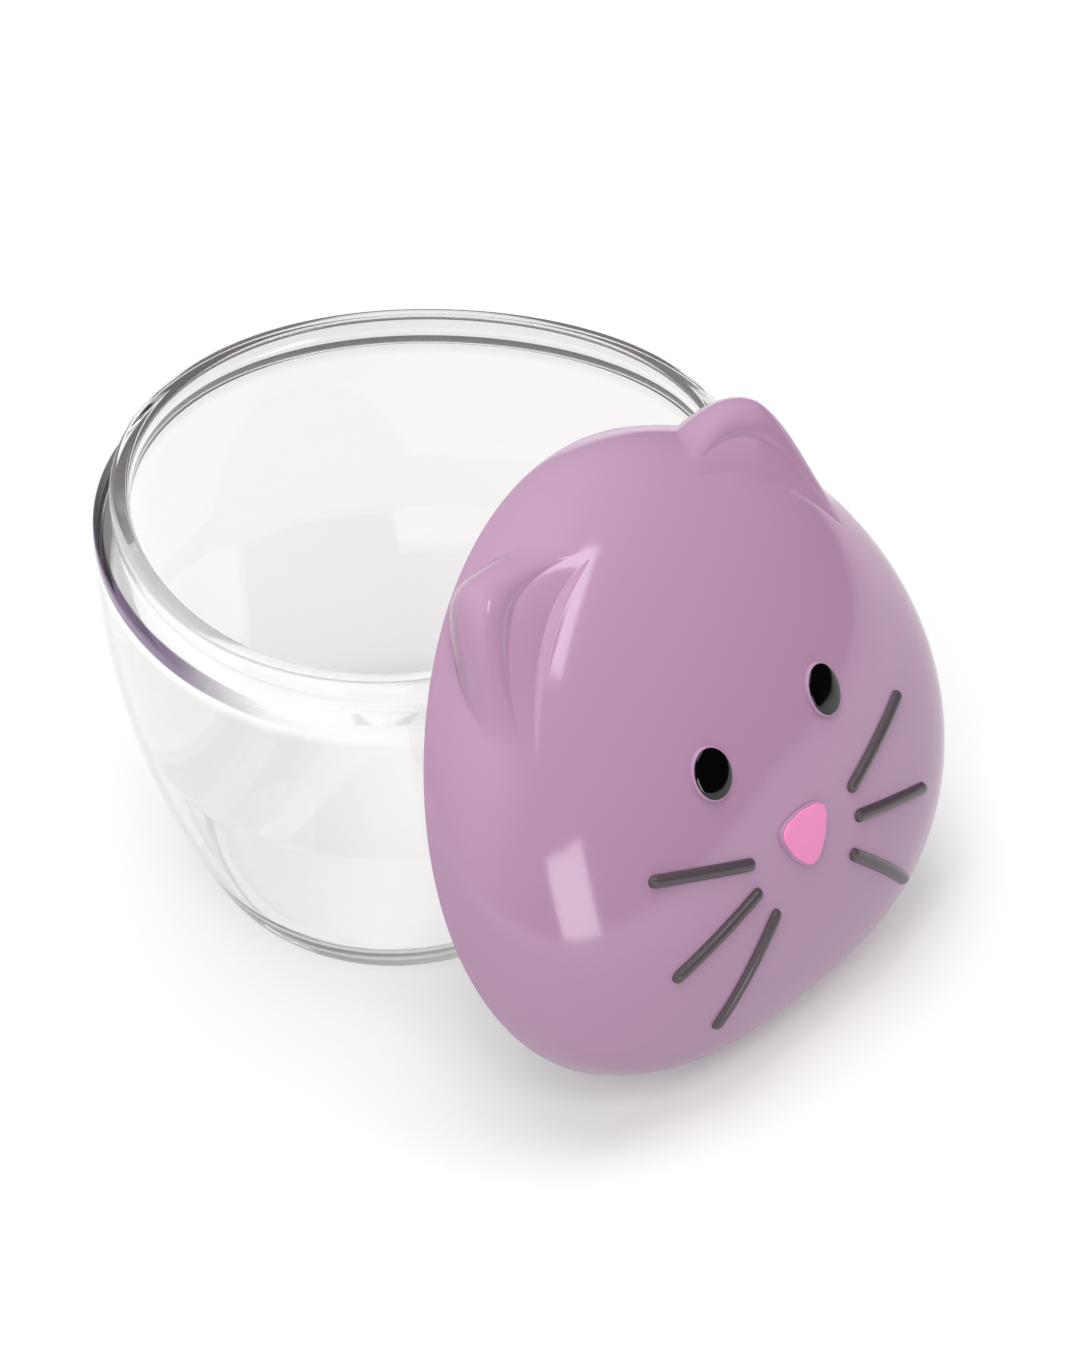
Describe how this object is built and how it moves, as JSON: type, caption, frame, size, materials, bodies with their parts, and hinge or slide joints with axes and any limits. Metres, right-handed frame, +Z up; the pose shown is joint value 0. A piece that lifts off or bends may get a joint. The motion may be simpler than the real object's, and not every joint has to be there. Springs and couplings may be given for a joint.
{
  "type": "toddler snack container",
  "caption": "Clear snack pot with a rounded three-sided body and a press-fit domed lid shaped as a cat's head, shown taken off and leaning against the pot.",
  "frame": {"origin": "middle of the pot's flat base, on the surface the pot stands on", "axes": "+Z up; -Y towards the cat's chin, where the taken-off lid leans; +X to the right of somebody who looks at the cat's face from the front; the whole arrangement is mirror-symmetric about the plane x = 0"},
  "size_m": [0.0954, 0.1168, 0.0782],
  "materials": {
    "clear_plastic": "clear, polished",
    "mauve_plastic": "high gloss",
    "black_plastic": "high gloss",
    "pink_plastic": "gloss",
    "charcoal_plastic": "gloss"
  },
  "bodies": {
    "pot": {"pot": "clear_plastic"},
    "lid": {"lid_shell": "mauve_plastic", "eye_left": "black_plastic", "eye_right": "black_plastic", "nose": "pink_plastic", "whisker_left_upper": "charcoal_plastic", "whisker_left_middle": "charcoal_plastic", "whisker_left_lower": "charcoal_plastic", "whisker_right_upper": "charcoal_plastic", "whisker_right_middle": "charcoal_plastic", "whisker_right_lower": "charcoal_plastic"}
  },
  "joints": [
    {"name": "lid_carry", "type": "hinge", "parent": "pot", "child": "lid", "pos_m": [0, 0.00421, 0.01677], "axis": [-1, 0, 0], "range_deg": [0, 63.2]}
  ]
}
